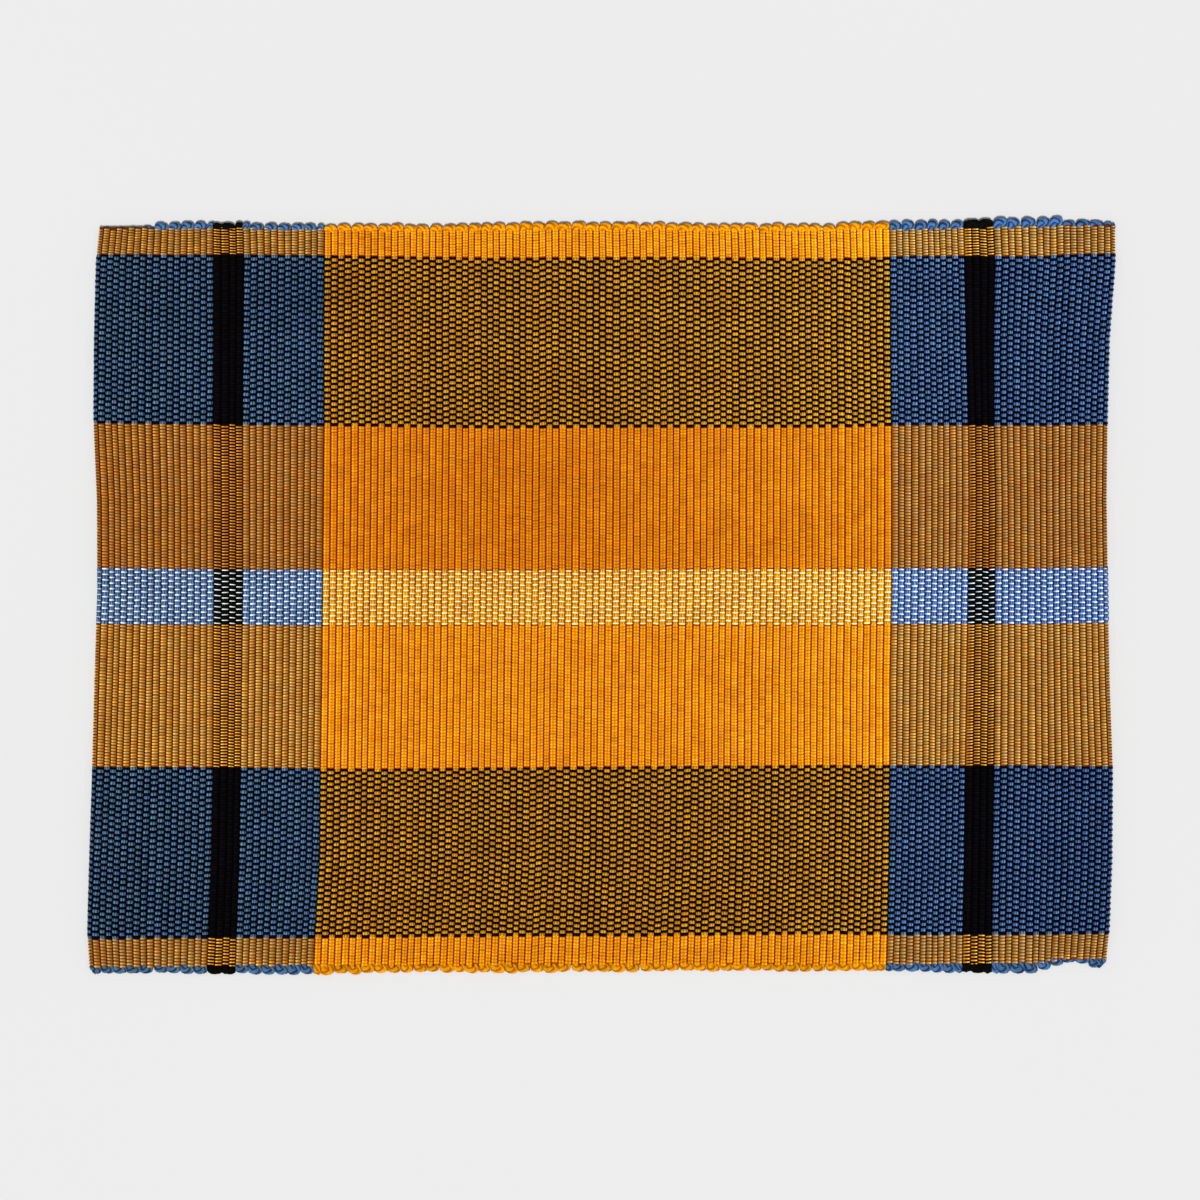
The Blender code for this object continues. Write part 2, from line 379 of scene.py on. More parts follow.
# %% [markdown]
# ## Finishes
# Everything here is dyed cotton yarn: dull, slightly furry, with a soft sheen where the light
# grazes it. Shade is painted into its colour in the furrows, darker and redder deep down.
# Four numbers on the mesh say where and what a piece of yarn is: "tone" is how light it was
# dyed, "depth" runs from 0 in a furrow to 1 on a crest and sets the painted furrow shade, a
# third number is how light it lies there, from random wear, slow patches and painted lamp
# light on one side, and "across" runs over a rib and places the painted shade on the crests.

# %% Cotton yarn
YARN_ROUGHNESS = 0.85
FIBRE_SCALE = 1.6  # tufts per mm
TUFTS, FUZZ = (0.3, 0.7), (0.72, 1.22)  # from here to there on the noise, a tuft is this light
STRAND_WAVER = 2.2
GROOVE_SHARE = (0.05, 0.55)  # of a strand's wave, from the groove's bottom to its rim
FURROW_RIM = 0.75  # the depth where the painted furrow shade has gone
SPARED = 0.7  # the darkest tones are spared this much of the painted crest shade
CREST_ZONE = (0.06, 0.24)  # of a rib's width from its middle, where the painted crest shade is full and gone
MAT_END = 0.24  # m, from the middle
LEFT_DRIFT = (0.98, 0.955, 0.8, 1.0)  # tint of the left end, linear
RIGHT_DRIFT = (0.98, 1.03, 1.06, 1.0)
EVEN = (1.0, 1.0, 1.0)
WARM = (0.75, 1.25, 1.7)  # shade between gold yarns takes their green and blue before their red
COOL = (1.3, 1.2, 1.0)  # and between blue ones their red and green


def cotton_yarn(name, dark, light, furrow, ply, groove_shade, shading=EVEN, crest="FFFFFF"):
    """Twisted dyed cotton. dark and light are the ends of its tones, furrow the colour of the
    shade painted deep down.

    ply is the width of one strand in mm, groove_shade how bright the line between two is,
    shading how strongly shade acts on red, green and blue and crest the tint of the shade
    painted on a rib's top.
    """
    finish, tree, shader = new_finish(name, YARN_ROUGHNESS)
    tone, depth, wear, across = (
        node(tree, "Attribute", {"attribute_name": number}).outputs["Fac"]
        for number in ("tone", "depth", "wear", "across"))
    place = node(tree, "UVMap", {"uv_map": "yarn"}).outputs["UV"]
    fibres = node(tree, "TexNoise", {},
                  {"Vector": place, "Scale": FIBRE_SCALE, "Detail": 3.0}).outputs["Fac"]
    strands = node(tree, "TexWave", {"wave_type": "BANDS", "bands_direction": "X"},
                   {"Vector": place, "Scale": math.pi / (10 * ply), "Distortion": STRAND_WAVER,
                    "Detail": 1.0}).outputs["Fac"]
    dyed = node(tree, "Mix", MIX, {"Factor": tone, A: linear(dark), B: linear(light)})
    # tufts, random wear, painted lamp light and the shade painted into the grooves between the
    # strands shade the yarn
    shade = node(tree, "MapRange", {}, enumerate((fibres, *TUFTS, *FUZZ))).outputs[0]
    groove = node(tree, "MapRange", {}, enumerate((strands, *GROOVE_SHARE, groove_shade, 1.0)))
    for part in (wear, groove.outputs[0]):
        shade = node(tree, "Math", {"operation": "MULTIPLY"},
                     {0: shade, 1: part}).outputs[0]
    shade = node(tree, "VectorMath", {"operation": "POWER"}, {0: shade, 1: shading})
    # painted shade: the furrows take the furrow tint, full at their bottom and gone at the rim
    sunk = node(tree, "MapRange", {}, enumerate((depth, 0.0, FURROW_RIM, 0.0, 1.0)))
    painted_furrow_shade = node(tree, "Mix", MIX,
                    {"Factor": sunk.outputs[0], A: linear(furrow), B: linear("FFFFFF")})
    # painted shade: a rib's top is drawn duller than its two shoulders, most of all where
    # gold lies on gold
    off_crest = node(tree, "Math", {"operation": "SUBTRACT"}, {0: across, 1: 0.5}).outputs[0]
    off_crest = node(tree, "Math", {"operation": "ABSOLUTE"}, {0: off_crest}).outputs[0]
    spared = node(tree, "Math", {"operation": "MULTIPLY_ADD"}, {0: tone, 1: -SPARED, 2: SPARED})
    shoulder = node(tree, "MapRange", {},
                    enumerate((off_crest, *CREST_ZONE, spared.outputs[0], 1.0)))
    crown = node(tree, "Mix", MIX,
                 {"Factor": shoulder.outputs[0], A: linear(crest), B: linear("FFFFFF")})
    # and the colour drifts a little from one end of the mat to the other
    spot = node(tree, "TexCoord").outputs["Object"]
    spot = node(tree, "SeparateXYZ", {}, {"Vector": spot}).outputs["X"]
    way = node(tree, "MapRange", {}, enumerate((spot, -MAT_END, MAT_END, 0.0, 1.0)))
    drift = node(tree, "Mix", MIX, {"Factor": way.outputs[0], A: LEFT_DRIFT, B: RIGHT_DRIFT})
    colour = dyed.outputs[MIXED]
    for tint in (shade.outputs[0], painted_furrow_shade.outputs[MIXED], crown.outputs[MIXED],
                 drift.outputs[MIXED]):
        colour = node(tree, "Mix", TIMES,
                      {"Factor": 1.0, A: colour, B: tint}).outputs[MIXED]
    tree.links.new(colour, shader.inputs["Base Color"])
    relief = node(tree, "Math", {"operation": "MULTIPLY_ADD"}, {0: fibres, 1: 0.5, 2: strands})
    bump = node(tree, "Bump", {}, {"Strength": 0.6, "Distance": 0.13 * ply * MM,
                                   "Height": relief.outputs[0]})
    tree.links.new(bump.outputs["Normal"], shader.inputs["Normal"])
    for socket, value in {"Specular IOR Level": 0.02, "Sheen Weight": 0.03,
                          "Sheen Roughness": 0.5, "Sheen Tint": linear(light)}.items():
        shader.inputs[socket].default_value = value
    return finish


# A cord's strands are really about 0.8 mm wide. They are drawn wider, because lines that fine
# can't be told apart at this distance.
CORD_PLY = 1.25
WARP_PLY = 0.35
CREST_SHADE = "DCB498"  # painted shade on the ribs' tops, duller and redder than their shoulders

gold_cord = cotton_yarn("cotton_cord_gold", "B68526", "E49F16", "984A18", CORD_PLY, 0.45, WARM)
blue_cord = cotton_yarn("cotton_cord_blue", "4C6B8B", "5373AE", "505968", CORD_PLY, 0.25, COOL)
black_cord = cotton_yarn("cotton_cord_black", "050505", "0B0B0B", "808080", CORD_PLY, 0.6)
gold_turn = cotton_yarn("cotton_turn_gold", "B87A08", "EE9C0C", "B87848", CORD_PLY, 0.45, WARM)
blue_turn = cotton_yarn("cotton_turn_blue", "3E5A7A", "486EA4", "707880", CORD_PLY, 0.25, COOL)
edge_gold, deep_gold, light_gold = (
    cotton_yarn("cotton_warp_" + name, dark, light, furrow, WARP_PLY, 0.9, WARM, CREST_SHADE)
    for name, dark, light, furrow in (("edge_gold", "A08248", "F8AF09", "A85A10"),
                                      ("deep_gold", "A27A40", "E69402", "A0540F"),
                                      ("light_gold", "B08D4A", "F6AA08", "A85A10")))
black_warp = cotton_yarn("cotton_warp_black", "0C0302", "020416", "808080", WARP_PLY, 0.9)
white_warp = cotton_yarn("cotton_warp_white", "FFEBB0", "CADEFF", "C8B898", WARP_PLY, 0.95)
print("yarns dyed")

# %% Weft cords of the sheet
# The sheet shows in the gaps between the warp yarns and underneath. Its map "weave" counts
# ribs and warps, so a checker of one square to each crossing is the weave itself. What a gap
# looks like goes by the cord in it and by the warps around it, which throw their own colour
# and shade into it.
GAP_HEXES = {"gold": {"blue": "6A2E04", "black": "240602", "gold": "8C2A03"},
             "black": {"blue": "030620", "black": "020202", "gold": "1A0401"},
             "white": {"blue": "1C3460", "black": "050505", "gold": "AC4E03"}}
WARP_HEXES = {"edge_gold": "E09016", "black": "060606", "deep_gold": "D07C14",
              "white": "EFE6D4", "light_gold": "E09016"}
TUFTS_PER_M = 1200.0
CLOTH_TUFTS, CLOTH_FUZZ = (0.25, 0.75), (0.7, 1.25)
FURROW_SHADE = 0.35  # how bright the bottom of a furrow is


def stripes(tree, count, rows, hexes):
    """A ramp of flat stripes, as wide as the blocks or bands in rows."""
    total = sum(width for _, width in rows)
    share = node(tree, "Math", {"operation": "DIVIDE"}, {0: count, 1: float(total)})
    ramp = node(tree, "ValToRGB", {}, {"Fac": share.outputs[0]})
    ramp.color_ramp.interpolation = "CONSTANT"
    start = 0
    for number, (colour, width) in enumerate(rows):
        stops = ramp.color_ramp.elements
        stop = stops[number] if number < 2 else stops.new(start / total)
        stop.position = start / total
        stop.color = linear(hexes[colour])
        start += width
    return ramp.outputs["Color"]


def mask_of(kind):
    """White where a band is of this kind and black elsewhere."""
    return {name: "FFFFFF" if kind in name else "000000" for name, _ in BANDS}


cloth_finish, tree, shader = new_finish("ribbed_cotton_cloth", YARN_ROUGHNESS)
weave = node(tree, "UVMap", {"uv_map": "weave"}).outputs["UV"]
counts = node(tree, "SeparateXYZ", {}, {"Vector": weave})
warps = stripes(tree, counts.outputs["Y"], BANDS, WARP_HEXES)
cords = stripes(tree, counts.outputs["X"], BLOCKS, GAP_HEXES["gold"])
for kind in ("black", "white"):
    gaps = stripes(tree, counts.outputs["X"], BLOCKS, GAP_HEXES[kind])
    mask = stripes(tree, counts.outputs["Y"], BANDS, mask_of(kind))
    cords = node(tree, "Mix", MIX, {"Factor": mask, A: cords, B: gaps}).outputs[MIXED]
crossing = node(tree, "TexChecker", {}, {"Vector": weave, "Scale": 1.0})
below, depth = (node(tree, "Attribute", {"attribute_name": number}).outputs["Fac"]
                for number in ("below", "depth"))
floats = node(tree, "Math", {"operation": "MULTIPLY"},
              {0: crossing.outputs["Fac"], 1: below})
face = node(tree, "Mix", MIX, {"Factor": floats.outputs[0], A: cords, B: warps})
place = node(tree, "TexCoord").outputs["Object"]
fibres = node(tree, "TexNoise", {},
              {"Vector": place, "Scale": TUFTS_PER_M, "Detail": 3.0}).outputs["Fac"]
furred = node(tree, "MapRange", {}, enumerate((fibres, *CLOTH_TUFTS, *CLOTH_FUZZ)))
deep = node(tree, "MapRange", {}, enumerate((depth, 0.0, 1.0, FURROW_SHADE, 1.0)))
colour = face.outputs[MIXED]
for part in (furred, deep):
    colour = node(tree, "Mix", TIMES,
                  {"Factor": 1.0, A: colour, B: part.outputs[0]}).outputs[MIXED]
tree.links.new(colour, shader.inputs["Base Color"])
bump = node(tree, "Bump", {}, {"Strength": 0.5, "Distance": 0.1 * MM, "Height": fibres})
tree.links.new(bump.outputs["Normal"], shader.inputs["Normal"])
shader.inputs["Specular IOR Level"].default_value = 0.03
print("cloth finish has", len(tree.nodes), "nodes")

# %% [markdown]
# ## The sheet of weft cords
# A cord is round, so a rib rises steeply out of its furrow and is nearly flat on top. The
# sheet is one closed skin: its upper face runs from one hidden hem edge, round the fold, along
# the mat, round the other fold and back, and its under face follows at the cloth's thickness.
# It is a grid of points from arrays, because a grid that goes round two folds is easier to
# say in numbers than to bend by hand.

# %% The ribbed sheet
HEM_LAP = 8  # ribs past each end: round the fold and back under
ALL_RIBS = RIBS + 2 * HEM_LAP
RIB_LINES = (0.0, 0.07, 0.2, 0.5, 0.8, 0.93)  # lines of points on a rib, as shares of its width
RIB_RELIEF = 1.05  # mm, from crest down to furrow
UNDER_RELIEF = 0.5
# mm, how far the cords lie below the tops of the warps that pass over them
SINKS = {"edge_gold": 0.62, "black": 0.8, "deep_gold": 0.62, "white": 0.6, "light_gold": 0.62}
RIM_REACH = 0.5  # mm, the cloth goes this far past the outermost warp
ROWS_INSIDE = (0, 3, 2, 1, 2, 3, 0)  # rows of points inside each band, besides its two borders
BORDER_GAP = 0.2  # warps, from a band's border to its first row of points
UNDER_ROWS = 10
HEM_THINNING = 0.15  # mm, the cloth is this much thinner where it lies double
WARPS_END = 2.6  # ribs past an end, under the fold, where warps no longer lie on the cords
ROUNDNESS = 5  # how steeply a cord falls off at its sides
# the bake map's lanes: along the upper face, along the under face, on the two rims and after
# the second of them
UPPER_LANES, UNDER_LANES, RIM_LANES, LAST_LANE = (0.62, 0.98), (0.01, 0.59), (0.61, 0.6), 0.605


def rib_drop(share):
    """How far a round cord has dropped below its crest, as a share of the relief."""
    return np.minimum(np.abs(2.0 * share - 1.0), 1.05) ** ROUNDNESS


def sheet_rows():
    """Places of the rows of points on the upper face, counted in warps, and their sinks."""
    rows, sinks = [], []
    for number, (inside, (name, _)) in enumerate(zip(ROWS_INSIDE, BANDS)):
        first, last = WARP_STARTS[number] + BORDER_GAP, WARP_STARTS[number + 1] - BORDER_GAP
        rows.extend(np.linspace(first, last, inside + 2))
        sinks.extend([SINKS[name]] * (inside + 2))
    rows[0], rows[-1] = 0.0, float(WARPS)
    return rows, sinks


def sheet_ring(ribs):
    """The rows of points round the sheet, as (row, 1 on the under face, points, 1 on crests)."""
    thick = CLOTH_THICKNESS - HEM_THINNING * hem_share(ribs)
    # 1 where warps lie on the cords, 0 underneath
    shown = smooth_step(np.minimum(ribs, RIBS - ribs) + WARPS_END)
    drop = rib_drop(ribs - np.floor(ribs))
    inner = -thick + UNDER_RELIEF * drop
    upper_rows, sinks = sheet_rows()

    def rim(row, side, sink):
        """The row of points half way down the cloth's side, past an outermost warp."""
        y = warp_y(row, rib_x(np.clip(ribs, 1, RIBS - 1), 0.0)) + side * RIM_REACH
        middle = (inner - sink * shown - RIB_RELIEF * drop) / 2
        return row, 0.5, on_table(ribs, y, middle), np.zeros(len(ribs))

    ring = []
    for row, sink in zip(upper_rows, sinks):
        top = on_table(ribs, warp_on_rib(row, ribs), -sink * shown - RIB_RELIEF * drop)
        ring.append((row, 0, top, 1 - drop))
    ring.append(rim(WARPS, -1, sinks[-1]))
    for row in np.linspace(0.0, WARPS, UNDER_ROWS)[::-1]:
        y = warp_on_rib(row, ribs)
        kept = 1.0 - (1.0 - pressed(y)) * hem_share(ribs)
        ring.append((row, 1, on_table(ribs, y, inner * kept), 1 - drop))
    ring.append(rim(0, 1, sinks[0]))
    return ring


def lane_of(lanes, row):
    """Where a row lies between the two ends of its lanes on the bake map."""
    return lanes[0] + (lanes[1] - lanes[0]) * (1 - row / WARPS)


def make_sheet():
    """The folded sheet of cords, with its map of ribs and warps."""
    ribs = np.concatenate([rib + np.array(RIB_LINES) for rib in range(-HEM_LAP, RIBS + HEM_LAP)]
                          + [[RIBS + HEM_LAP]])
    ring = sheet_ring(ribs)
    rows, unders, layers, depths = zip(*ring)
    across, around = len(ribs), len(ring)
    grid = np.arange(across * around).reshape(around, across)
    after = np.roll(grid, -1, axis=0)
    quads = np.stack((grid[:, :-1], after[:, :-1], after[:, 1:], grid[:, 1:]), axis=-1)
    u = np.broadcast_to(np.stack((ribs[:-1], ribs[:-1], ribs[1:], ribs[1:]), axis=-1), quads.shape)

    def spread_down(here, there):
        """A value of each row and the next, on every corner between them."""
        v = np.stack((here, there, there, here), axis=-1)
        return np.broadcast_to(v[:, None, :], quads.shape)

    rows = np.array(rows, float)
    weave_map = np.stack((u, spread_down(rows, np.roll(rows, -1))), axis=-1).reshape(-1, 2)
    upper = unders.count(0)
    lanes = np.array([lane_of(UPPER_LANES, row) for row in rows[:upper]] + [RIM_LANES[0]]
                     + [lane_of(UNDER_LANES, row) for row in rows[upper + 1 : -1]] + [RIM_LANES[1]])
    next_lanes = np.roll(lanes, -1)
    next_lanes[-1] = LAST_LANE
    bake_map = np.stack(((u + HEM_LAP) / ALL_RIBS, spread_down(lanes, next_lanes)),
                        axis=-1).reshape(-1, 2)
    ends = [grid[:, 0][::-1], grid[:, -1]]
    corners = np.concatenate([quads.ravel(), *ends])
    sizes = np.concatenate([np.full(quads.size // 4, 4), [around, around]])
    # the two closing faces are hidden under the hems and share a line of the maps' margin
    margin = np.zeros((2 * around, 2))
    margin[:, 0] = np.tile(np.linspace(0, 0.001, around), 2)
    return make_piece(
        "mat_sheet", np.concatenate(layers), corners, sizes, cloth_finish,
        {"weave": np.concatenate([weave_map, margin]),
         "OFBake": np.concatenate([bake_map, margin])},
        {"depth": np.concatenate(depths), "below": np.repeat(np.array(unders, float), across)})


sheet = make_sheet()

# %% [markdown]
# ## One grain of each yarn
# A warp that passes over a rib shows as a short arched grain, and a cord between two thick
# black warps swells into a small loaf. Each is modelled once, with very few faces, because the
# mat has tens of thousands of them.


# %% Take a finished model apart
def unit_arrays(piece):
    """Points, corners, face sizes and map of a small model, which is then removed."""
    mesh = piece.data
    points = np.array([tuple(v.co) for v in mesh.vertices])
    # Blender may list the faces in another order on each run, so they are put in order here
    faces = sorted(mesh.polygons, key=lambda face: tuple(face.vertices))
    corners = np.array([i for face in faces for i in face.vertices])
    sizes = np.array([len(face.vertices) for face in faces])
    on_map = mesh.uv_layers.active.data
    places = np.array([tuple(on_map[i].uv) for face in faces for i in face.loop_indices])
    bpy.data.objects.remove(piece, do_unlink=True)
    return points, corners, sizes, places


def lay_out_map():
    """Give the model in edit mode a map with no faces on top of each other."""
    bpy.ops.mesh.select_all(action="SELECT")
    bpy.ops.mesh.normals_make_consistent(inside=False)
    bpy.ops.uv.smart_project(angle_limit=math.radians(75), island_margin=0.03)


def select_points(test):
    """Select the vertices of the model in edit mode that pass a test on their place."""
    piece = bpy.context.edit_object
    bpy.ops.mesh.select_all(action="DESELECT")
    shape = bmesh.from_edit_mesh(piece.data)
    bpy.context.tool_settings.mesh_select_mode = (True, False, False)
    for vert in shape.verts:
        vert.select = bool(test(vert.co))
    shape.select_flush(True)
    bmesh.update_edit_mesh(piece.data)


def stretch(scale, test):
    """Scale the points that pass a test, from the middle of the model in edit mode."""
    select_points(test)
    bpy.ops.transform.resize(value=scale, center_override=(0, 0, 0))


# %% A warp grain
# A three-sided rod along X, as wide as a rib's crest, with ends drawn out to points that dip
# into the furrows. Its X is a share of the rib's width; Y and Z are shares of its half width.
bpy.ops.mesh.primitive_cylinder_add(vertices=3, radius=1.0, depth=0.62, end_fill_type="TRIFAN",
                                    rotation=(math.pi / 2, 0, math.pi / 2))
grain = bpy.context.object
bpy.ops.object.transform_apply(rotation=True)
bpy.ops.object.mode_set(mode="EDIT")
stretch((1.9, 1, 1), lambda co: abs(co.y) < 0.01 and abs(co.z) < 0.01)
lay_out_map()
bpy.ops.object.mode_set(mode="OBJECT")
GRAIN = unit_arrays(grain)
print("grain", GRAIN[0].round(2).tolist())

# %% A loaf of cord
# The upper half of a coarse ball, with its crown drawn out to make it plump.
bpy.ops.mesh.primitive_uv_sphere_add(segments=8, ring_count=4, radius=1.0)
loaf = bpy.context.object
bpy.ops.object.mode_set(mode="EDIT")
select_points(lambda co: co.z < -0.1)
bpy.ops.mesh.delete(type="VERT")
bpy.ops.mesh.select_all(action="SELECT")
bpy.ops.mesh.fill_holes(sides=0)
bpy.ops.transform.rotate(value=math.radians(22.5), orient_axis="Z", center_override=(0, 0, 0))
stretch((1.15, 1.15, 1.2), lambda co: 0.1 < co.z < 0.9)
stretch((1, 1.45, 1), lambda co: abs(co.y) < abs(co.x))
stretch((1.75, 1, 1), lambda co: abs(co.x) < 0.5 and abs(co.y) > 0.1)
stretch((0.5, 1, 1), lambda co: True)
lay_out_map()
bpy.ops.object.mode_set(mode="OBJECT")
LOAF = unit_arrays(loaf)
print("loaf", LOAF[0].round(2).tolist(), int((LOAF[2] - 2).sum()), "triangles")

# %% [markdown]
# ## Copies all over the mat
# Each grain could be an object of its own, or an instance that a modifier scatters. But tens
# of thousands of objects are slow, and an instance doesn't bend round a fold. So the points of
# all copies are worked out together in arrays, laid on the table by the same function as the
# sheet, and joined as one mesh for each yarn. A little unevenness in place and lightness
# keeps them from looking stamped.

# %% Repeat a unit
CELL_RIM = 0.04  # of a cell's width, kept free round each copy on the bake map


def repeat_unit(unit, count):
    """Corners, face sizes and bake map of many copies, each in its own cell of the map."""
    points, corners, sizes, places = unit
    order = np.arange(count)
    all_corners = (corners + (order * len(points))[:, None]).ravel()
    side = math.ceil(math.sqrt(count))
    cells = np.stack((order % side, order // side), axis=-1)[:, None, :]
    bake_map = (cells + CELL_RIM + (1 - 2 * CELL_RIM) * places) / side
    return all_corners, np.tile(sizes, count), bake_map.reshape(-1, 2)


# %% How light each place is
WEAR = 0.06  # a grain is up to about this much lighter or darker than the next
HALF_WIDTH = 175.0  # mm, of the mat
FADE_UP = 0.03  # the mat is this much lighter towards its upper edge
# Slow unevenness of light and dye, as soft round or long patches: middle x and y and reach
# along x and y, all in mm, and how much lighter it is there.
ALL_OVER = 1000.0
PATCHES = (
    (-150, 0, 25, ALL_OVER, 0.04), (135, 0, 45, ALL_OVER, 0.1), (0, -120, ALL_OVER, 35, 0.04),
    (0, 0, ALL_OVER, 14, 0.04), (0, -170, ALL_OVER, 10, -0.1), (170, 168, 70, 10, 0.12),
    (-190, 90, 60, 30, 0.1), (-140, 143, 32, 17, -0.17), (110, 120, 110, 50, 0.1),
    (-35, 45, 45, 35, -0.08), (-185, -85, 60, 40, 0.1), (235, -120, 25, 60, -0.1),
    (80, 55, 50, 35, 0.08), (-114, 168, 16, 9, -0.15), (200, -60, 60, 35, -0.03),
    (-185, -170, 60, 10, 0.2), (200, -170, 60, 10, 0.15), (-190, -40, 50, 40, 0.05),
    (-140, 168, 12, 10, 0.1))
RIB_CLOUDS = 0.07  # each rib has its own lighter and darker stretches
CLOUD_LENGTH = (2.5, 8.0)  # mm


def patches(ribs, y):
    """How light each place of the mat is: slow patches, and each rib's own stretches."""
    x = rib_x(np.clip(ribs + 0.5, 1, RIBS - 1), 0.0)
    light = 1.0 + FADE_UP * y / HALF_WIDTH
    for middle_x, middle_y, wide, high, more in PATCHES:
        light = light + more * np.exp(-((x - middle_x) / wide) ** 2 - ((y - middle_y) / high) ** 2)
    rng = np.random.default_rng(SEED + 11)
    phase = rng.uniform(0, 2 * math.pi, ALL_RIBS)[ribs + HEM_LAP]
    length = rng.uniform(*CLOUD_LENGTH, ALL_RIBS)[ribs + HEM_LAP]
    return light * (1.0 + RIB_CLOUDS * np.sin(phase + y / length))


# %% Lay many copies on the cloth
# The photo's lamps stood low to the left and to the right. Lamps that low would throw long
# shadows over the floor, so each yarn is drawn lighter on the side of the nearer lamp instead.
FULL_SIDE = 1.85  # a lamp's effect is full from 1 / 1.85 of the way from middle to end
LAMPS = (-1.25, 1.0)  # how strong the right and the left lamp are
CORD_SIDE = 0.43
WARP_SIDE = (0.3, 0.83, 0.55)  # on a gold, blue or black cord
DARK_SIDE = 0.45  # no end of a grain is darker than this
BODY_END = 0.4  # of a unit's width from its middle; points nearer than this are its body
FLANK_FOOT, FLANK_RISE = -0.9, 1.2  # where on its height a unit takes the most painted furrow shade, and how soon none
YARN_PITCH = 3.1  # mm of yarn across a rib
MAP_ROW, MAP_STEP = 89, (5.3, 4.7)  # copies to a row of the yarn's map, and mm between them


def lay_copies(name, unit, finish, ribs, ys, half, span, level, rise, tone, tilt, dome, flank,
               blunt=1.0, crested=False, gain=1.0, uneven=WEAR):
    """Copies of a unit, one to each rib and y, joined as one piece.

    half is half its size along the cord in mm, span its width as a share of the rib's, level
    the height of its lower line and rise its own height in mm, tilt the slope of its ends in
    mm, dome how much its crown follows the round of the cord, flank how much painted lamp light
    makes one of its ends lighter and the other darker, blunt the length of its body, crested
    whether its top takes the painted crest shade, gain how light it is as a whole and uneven
    how much that varies.
    """
    corners = unit[1]
    unit_x, unit_y, unit_z = unit[0].T
    count = len(ribs)
    column = (lambda values: np.broadcast_to(np.asarray(values, float), (count,))[:, None])
    body = np.abs(unit_x) < BODY_END
    along = unit_x * column(span) * np.where(body, column(blunt), 1.0)
    share = 0.5 + along
    y = column(ys) + unit_y * column(half) + column(tilt) * 2 * along
    drop = RIB_RELIEF * column(dome) * rib_drop(share)
    height = column(level) + unit_z * column(rise) - drop
    laid = on_table(column(ribs) + share, y, height).reshape(-1, 3)
    all_corners, all_sizes, bake_map = repeat_unit(unit, count)
    order = np.arange(count)[:, None]
    yarn = np.stack((unit_x[corners] * YARN_PITCH + order % MAP_ROW * MAP_STEP[0],
                     unit_y[corners] * column(half) + order // MAP_ROW * MAP_STEP[1]), axis=-1)
    depth = 1.0 - np.abs(2.0 * share - 1.0) ** ROUNDNESS  # below 0 at the tips in the furrows
    depth = np.minimum(depth, np.clip((unit_z - FLANK_FOOT) / FLANK_RISE, 0, 1))
    wear = np.random.default_rng(SEED + count).normal(1.0, uneven, count) * patches(ribs, ys) * gain
    lamp_side = np.clip((1.0 - 2.0 * (ribs + 0.5) / RIBS) * FULL_SIDE, *LAMPS)
    # painted light: one end of each unit is drawn lighter and the other darker, by the nearer lamp
    facing = column(flank) * lamp_side[:, None] * (1.0 - 2.0 * share)
    numbers = {"tone": column(tone), "depth": depth,
               "wear": wear[:, None] * np.maximum(1.0 + facing, DARK_SIDE),
               "across": np.where(column(crested) > 0, share, 1.0)}
    return make_piece(name, laid, all_corners, all_sizes, finish,
                      {"yarn": yarn.reshape(-1, 2), "OFBake": bake_map},
                      {number: np.broadcast_to(values, share.shape).ravel()
                       for number, values in numbers.items()})


# %% [markdown]
# ## Warp yarns
# On any rib every second warp is on top, and on the next rib the others are. So a warp shows
# where its number and the rib's add up to an odd number, which staggers the grains like
# bricks. Grains are uneven in width, slope and tone, and each rib sways a little.

# %% The warps that show
FOLDED = 2  # ribs round each fold that still show their warps
SWAY = 0.12  # mm, how far a rib's warps ride up or down together
EDGE_SWAY = 0.45  # and how much further near the long edges
SWAY_LENGTH = 23.0
JITTER = 0.04
GRAIN_SLOPE = 0.03
# mm, how far one end of a rib's grains lies below the other
RIB_SLOPES = np.random.default_rng(SEED + 8).normal(0, 0.07, ALL_RIBS)


def crossings(bands, parity=1):
    """Rib and warp numbers of the crossings of some bands where the warp is on top.

    With parity 0 they are those where it is under the cord.
    """
    found = []
    for band in bands:
        ribs, warps = np.meshgrid(np.arange(-FOLDED, RIBS + FOLDED),
                                  np.arange(WARP_STARTS[band], WARP_STARTS[band + 1]),
                                  indexing="ij")
        meant = (ribs + warps) % 2 == parity
        found.append((ribs[meant], warps[meant]))
    return [np.concatenate(numbers) for numbers in zip(*found)]


def warp_pitch(ribs, warps):
    """The room that each warp has on its rib, in mm."""
    return np.abs(warp_on_rib(warps + 1.0, ribs + 0.5) - warp_on_rib(warps + 0.0, ribs + 0.5))


def sway(ribs, y):
    """A slow wave along each rib, different on every rib."""
    rng = np.random.default_rng(SEED + 7)
    phase = rng.uniform(0, 2 * math.pi, ALL_RIBS)
    size = rng.uniform(0.3, 1.0, ALL_RIBS)
    number = ribs + HEM_LAP
    shift = rng.uniform(-1, 1, (2, ALL_RIBS))[(y > 0).astype(int), number]
    return (SWAY * size[number] * np.sin(phase[number] + y / SWAY_LENGTH)
            + EDGE_SWAY * shift * near_edge(y))


# %% Lay the grains
CORD_ORDER = ("gold", "blue", "black")
THICK_AND_THIN = 0.04
TONE_SKEW = 1.5  # above 1, most grains are near the dark end of their tones
LEFT_TONE = 0.03  # over blue, the tone is this much lighter at the left end of the mat
LOWER_TONE = 0.12  # and this much darker along the lower edge
OUTER_WARPS, OUTER_TONE = 3, 0.45  # but the lowest warps are cleaner gold


